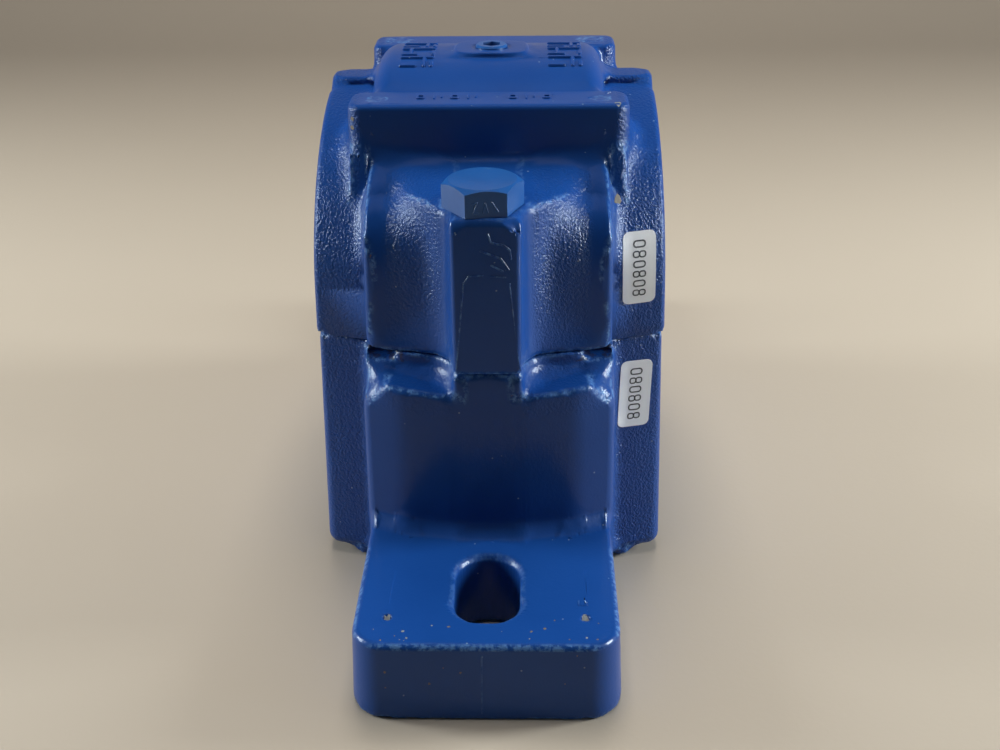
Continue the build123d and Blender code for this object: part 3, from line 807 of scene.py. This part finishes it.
class Relief:
    """Collects thin raised shapes of one material into one mesh."""

    def __init__(self, name, material):
        self.name = name
        self.material = material
        self.points = []
        self.faces = []

    def stack(self, face, rings, close_top=True):
        """Join rings of (u, v) points, each at its height, from the foot up."""
        start = len(self.points)
        count = len(rings[0][0])
        for ring, height in rings:
            self.points.extend(face.lift(u, v, height)[:] for u, v in ring)
        for level in range(len(rings) - 1):
            low = start + level * count
            for i in range(count):
                j = (i + 1) % count
                self.faces.append((low + i, low + j, low + count + j, low + count + i))
        top = start + (len(rings) - 1) * count
        if close_top:
            self.faces.append(tuple(range(top, top + count)))
            self.faces.append(tuple(range(start + count - 1, start - 1, -1)))
        else:
            for i in range(count):
                j = (i + 1) % count
                self.faces.append((top + i, top + j, start + j, start + i))

    def pad(self, face, centre, width, length, radius, height, turn, edge):
        """A rounded pad whose top edge is cut back."""
        rings = ((0.0, -SINK), (0.0, height - edge), (0.7 * edge + LEAST_INSET, height))
        self.stack(face, [(rounded_ring(width, length, radius, i, turn, centre), h) for i, h in rings])

    def loop(self, face, centre, width, length, radius, stroke, height, turn=0.0):
        """A raised line round a rounded box."""
        rings = ((0.0, -SINK), (0.0, height), (stroke, height), (stroke, -SINK))
        shaped = [(rounded_ring(width, length, radius, i, turn, centre), h) for i, h in rings]
        self.stack(face, shaped, close_top=False)

    def stroke(self, face, start, end, width, height):
        along = Vector(end) - Vector(start)
        middle = 0.5 * (Vector(end) + Vector(start))
        turn = math.atan2(along.y, along.x) - 0.5 * math.pi
        self.pad(face, middle[:], width, along.length + width, 0.5 * width, height, turn, 0.3 * width)

    def strokes(self, face, lines, width, height, origin=(0.0, 0.0)):
        """A stroke for each pair of places, which are in millimetres from the origin."""
        for line in lines:
            start, end = (Vector((origin[0] + u * MM, origin[1] + v * MM)) for u, v in line)
            self.stroke(face, start, end, width, height)

    def chip(self, face, centre, radius, height, chance):
        """A flake with a ragged rim."""
        reach = [radius * chance.uniform(*CHIP_RAGGED) for _ in range(CHIP_POINTS)]
        turns = [2.0 * math.pi * i / CHIP_POINTS for i in range(CHIP_POINTS)]
        ring = [(centre[0] + r * math.cos(t), centre[1] + r * math.sin(t)) for r, t in zip(reach, turns)]
        self.stack(face, [(ring, -SINK), (ring, height)])

    def sheet(self, face, centre, width, length, radius, height, turn):
        """A rounded sheet that follows the casting's curve along its length."""
        stations = sheet_stations(length, radius)
        start, rows, columns = len(self.points), len(stations), SHEET_COLUMNS
        for level in (height, -SINK):
            for station in stations:
                inset = min(station, length - station, radius)
                half = 0.5 * width - radius + math.sqrt(radius * radius - (radius - inset) ** 2)
                for column in range(columns):
                    u = half * (2.0 * column / (columns - 1) - 1.0)
                    place = turned(u, station - 0.5 * length, turn, centre)
                    self.points.append(face.lift(*place, level)[:])
        under = start + rows * columns
        for row in range(rows - 1):
            for column in range(columns - 1):
                top = start + row * columns + column
                low = under + row * columns + column
                self.faces.append((top, top + 1, top + columns + 1, top + columns))
                self.faces.append((low, low + columns, low + columns + 1, low + 1))
        rim = list(range(columns))
        rim += [row * columns + columns - 1 for row in range(1, rows)]
        rim += [(rows - 1) * columns + column for column in range(columns - 2, -1, -1)]
        rim += [row * columns for row in range(rows - 2, 0, -1)]
        for here, ahead in zip(rim, rim[1:] + rim[:1]):
            self.faces.append((start + here, under + here, under + ahead, start + ahead))

    def finish(self, wear_and_highlight=0.0):
        """Make the piece; its edge value is how worn its enamel looks and how much painted highlight it
        gets.
        """
        mesh = bpy.data.meshes.new(self.name)
        mesh.from_pydata(self.points, [], self.faces)
        shade(mesh, self.material)
        # The edge value makes the enamel paler: a painted highlight as well as wear.
        if wear_and_highlight:
            edge = mesh.attributes.new("edge", "FLOAT", "POINT")
            edge.data.foreach_set("value", [wear_and_highlight] * len(mesh.vertices))
        piece = add_object(self.name, mesh)
        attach(piece, "housing")


# ---------------------------------------------------------------- labels
LABEL_WIDTH = 11.8 * MM
LABEL_CORNER = 2.2 * MM
LABEL_HEIGHT = 0.16 * MM
INK_HEIGHT = LABEL_HEIGHT + 0.05 * MM
LABEL_SIGNS = 6
SIGN_PITCH = 0.135
CAP_LABEL = {"centre": mm(53.1, 121.4), "length": 25.6 * MM, "turn": math.radians(1.0)}
BASE_LABEL = {"centre": mm(53.3, 72.0), "length": 27.0 * MM, "turn": math.radians(-1.5)}


def add_label_sign(ink, face, centre, pitch, turn, wide):
    """One wide loop, or two narrow ones beside each other."""
    if wide:
        ink.loop(face, centre, 4.6 * MM, 0.74 * pitch, 1.2 * MM, 0.5 * MM, INK_HEIGHT, turn)
        return
    for shift in (-1.1 * MM, 1.1 * MM):
        place = (centre[0] + shift, centre[1])
        ink.loop(face, place, 2.6 * MM, 0.70 * pitch, 1.0 * MM, 0.48 * MM, INK_HEIGHT, turn)


def add_labels(cap_front, base_front):
    """Two white paper labels on the right hub, each with a row of plain dark loops."""
    paper = Relief("paper_labels", label_paper())
    ink = Relief("label_marks", label_ink())
    for face, label in ((cap_front, CAP_LABEL), (base_front, BASE_LABEL)):
        centre, length, turn = label["centre"], label["length"], label["turn"]
        paper.sheet(face, centre, LABEL_WIDTH, length, LABEL_CORNER, LABEL_HEIGHT, turn)
        pitch = SIGN_PITCH * length
        for index in range(LABEL_SIGNS):
            along = (0.5 * (LABEL_SIGNS - 1) - index) * pitch
            add_label_sign(ink, face, turned(0.0, along, turn, centre), pitch, turn, index % 2 == 0)
    paper.finish()
    ink.finish()


# ---------------------------------------------------------------- cast, bolt and paint marks
CROWN_SIGNS_X = mm(-7.0, 3.5, 14.0)
CROWN_SIGNS_Y = 27.5 * MM
CROWN_SIGN_TALL = 5.6 * MM
CROWN_SIGN_WIDE = 3.6 * MM
CROWN_SIGN_HEIGHT = 0.75 * MM
CROWN_UPRIGHT = 1.7 * MM
CROWN_CROSSBAR = 1.6 * MM
BAR_SIGNS_X = 42.0 * MM
BAR_SIGNS_Y = mm(-24.0, -18.0, -12.0, -6.0, 8.5, 14.5, 20.5)
BAR_SIGN_LINE = 0.85 * MM
BAR_SIGN_HEIGHT = 0.4 * MM
BOLT_SIGNS_DROP = 6.0 * MM

# Strokes from one place to another, in millimetres: across and up, but along and across on the foot's top.
BOLT_SIGNS = (
    ((-4.2, 1.6), (-2.4, 1.9)), ((-2.4, 1.9), (-3.8, -1.8)), ((-3.8, -1.8), (-2.0, -1.5)),
    ((-0.6, -1.6), (0.2, 1.7)), ((0.2, 1.7), (1.0, -1.4)), ((2.4, 1.9), (4.2, -1.2)),
)
FIELD_BORDER = (
    ((-10.6, 97.5), (-7.4, 129.5)), ((11.0, 97.5), (7.9, 129.5)), ((-5.6, 132.2), (-1.0, 132.4)),
    ((1.5, 132.2), (6.4, 131.8)), ((-7.4, 129.5), (-5.6, 132.2)),
)
DRIPS = (
    ((1.0, 147.0), (1.8, 144.0)), ((1.8, 144.0), (6.0, 143.2)), ((6.0, 143.2), (8.0, 141.4)),
    ((8.0, 141.4), (8.4, 138.4)), ((-1.5, 141.0), (5.0, 138.5)), ((5.0, 138.5), (7.6, 134.6)),
    ((2.0, 136.0), (5.6, 134.0)),
)
FOOT_SIGN = (((139.6, 31.0), (142.4, 31.0)), ((142.4, 31.0), (142.4, 33.8)), ((139.6, 33.0), (141.0, 33.8)))
MOULD_SEAM = (((-1.3, 3.0), (-1.1, 26.0)),)


def add_crown_sign(marks, top, x, middle, crossbar):
    """Two uprights and two bars across; the crossbar's place is a share of the sign's half height."""
    tall, wide = CROWN_SIGN_TALL, CROWN_SIGN_WIDE
    level = middle + crossbar * tall
    for start, end, width in (
        ((x - wide, middle - tall), (x - wide, middle + tall), CROWN_UPRIGHT),
        ((x + wide, middle - tall), (x + wide, middle - 0.5 * MM), CROWN_UPRIGHT),
        ((x - wide, level), (x + wide, level), CROWN_CROSSBAR),
        ((x + 0.6 * MM, middle + tall), (x + wide, middle + tall), CROWN_CROSSBAR),
    ):
        marks.stroke(top, start, end, width, CROWN_SIGN_HEIGHT)


def add_bar_sign(marks, top, y, closed):
    """A small loop, or two short lines."""
    x = BAR_SIGNS_X
    if closed:
        marks.loop(top, (x, y), 4.4 * MM, 3.4 * MM, 0.9 * MM, BAR_SIGN_LINE, BAR_SIGN_HEIGHT)
        return
    for shift, reach in (mm(-1.2, 2.0), mm(1.4, 0.4)):
        start, end = (x - 2.0 * MM, y + shift), (x + reach, y + shift)
        marks.stroke(top, start, end, BAR_SIGN_LINE, BAR_SIGN_HEIGHT)


def add_cast_marks(top):
    """Raised strokes cast into the crown's two ends and into the near bar's top; they spell nothing."""
    marks = Relief("cast_marks", materials["housing_enamel"])
    for side in BOTH:
        for index, x in enumerate(CROWN_SIGNS_X):
            add_crown_sign(marks, top, x, side * CROWN_SIGNS_Y, 0.5 - index % 2)
    for index, y in enumerate(BAR_SIGNS_Y):
        add_bar_sign(marks, top, y, index % 2 == 0)
    marks.finish()


def add_bolt_marks():
    """Raised strokes on the near bolt head's front flat; they spell nothing."""
    marks = Relief("bolt_marks", materials["fastener_enamel"])
    front = Face(nodes["cap_bolts"], *FRONT)
    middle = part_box("cap_bolts")[1][2] - BOLT_SIGNS_DROP
    marks.strokes(front, BOLT_SIGNS, 0.5 * MM, 0.2 * MM, origin=(0.0, middle))
    marks.finish()


def add_paint_ridges(cap_front, base_front, base_top):
    """Thick paint round the column's dressed field and in drips, a sign on the foot and the mould seam."""
    ridges = Relief("paint_ridges", materials["housing_enamel"])
    ridges.strokes(cap_front, FIELD_BORDER, 0.5 * MM, 0.22 * MM)
    ridges.strokes(cap_front, DRIPS, 0.7 * MM, 0.3 * MM)
    ridges.strokes(base_top, FOOT_SIGN, 0.5 * MM, 0.15 * MM)
    # Painted highlight along with wear: the ridges' edge value makes their enamel paler.
    ridges.finish(wear_and_highlight=0.7)
    seam = Relief("mould_seam", materials["housing_enamel"])
    seam.strokes(base_front, MOULD_SEAM, 0.9 * MM, 0.08 * MM)
    # Painted highlight along with wear: the seam's edge value makes its enamel a little paler.
    seam.finish(wear_and_highlight=0.3)


# ---------------------------------------------------------------- chips
CHIP_SEED = 7
CHIP_HEIGHT = 0.05 * MM
SMALL_CHIP_HEIGHT = 0.03 * MM
BAR_END_CHIP = {"place": mm(50.3, 45.2), "radius": 1.5 * MM, "height": 0.06 * MM}
BAR_CORNER_CHIPS = ((45.3, 144.6, 1.6), (-47.4, 170.6, 0.8), (-47.6, 167.5, 0.8))
TOP_CHIPS = 18
TOP_CHIP_X = mm(150.0, 161.0)
TOP_CHIP_REACH = 38.0 * MM
TOP_CHIP_RADIUS = mm(0.2, 0.6)
RUST_SHARE = 0.4
FRONT_CHIPS = 7
FRONT_CHIP_Y = mm(-34.0, 34.0)
FRONT_CHIP_Z = mm(12.0, 27.0)
FRONT_CHIP_RADIUS = mm(0.2, 0.5)


def add_chips(cap_front, cap_top, base_front, base_top):
    """Flakes of primer and rust at the foot's dimples, at the bars' corners and along the foot's end."""
    chance = random.Random(CHIP_SEED)
    pale = Relief("primer_chips", chip_primer())
    rust = Relief("rust_chips", chip_rust())
    for side in BOTH:
        pale.chip(base_top, (FOOT_MARK_X, side * FOOT_MARK_Y), 1.5 * MM, CHIP_HEIGHT, chance)
    pale.chip(cap_top, BAR_END_CHIP["place"], BAR_END_CHIP["radius"], BAR_END_CHIP["height"], chance)
    for y, z, radius in BAR_CORNER_CHIPS:
        rust.chip(cap_front, mm(y, z), radius * MM, CHIP_HEIGHT, chance)
    for _ in range(TOP_CHIPS):
        y = chance.choice(BOTH) * TOP_CHIP_REACH * chance.random() ** 0.5
        place = (chance.uniform(*TOP_CHIP_X), y)
        kind = rust if chance.random() < RUST_SHARE else pale
        kind.chip(base_top, place, chance.uniform(*TOP_CHIP_RADIUS), SMALL_CHIP_HEIGHT, chance)
    for _ in range(FRONT_CHIPS):
        place = (chance.uniform(*FRONT_CHIP_Y), chance.uniform(*FRONT_CHIP_Z))
        rust.chip(base_front, place, chance.uniform(*FRONT_CHIP_RADIUS), SMALL_CHIP_HEIGHT, chance)
    pale.finish()
    rust.finish()


# ---------------------------------------------------------------- put it together
materials = make_materials()
slot_of = {part["node"]: part["material_slot"] for part in frame["record"]["subparts"]}
for name, node in nodes.items():
    node.data.materials.clear()
    node.data.materials.append(materials[slot_of[name]])

base_skin = cast_skin("base")
cap_skin = cast_skin("cap")
cap_front = Face(cap_skin, *FRONT)
cap_top = Face(cap_skin, *TOP)
base_front = Face(base_skin, *FRONT)
base_top = Face(base_skin, *TOP)
add_labels(cap_front, base_front)
add_cast_marks(cap_top)
add_bolt_marks()
add_paint_ridges(cap_front, base_front, base_top)
add_chips(cap_front, cap_top, base_front, base_top)

bpy.context.scene.view_settings.view_transform = "Standard"
add_camera()
add_lights()
add_floor()
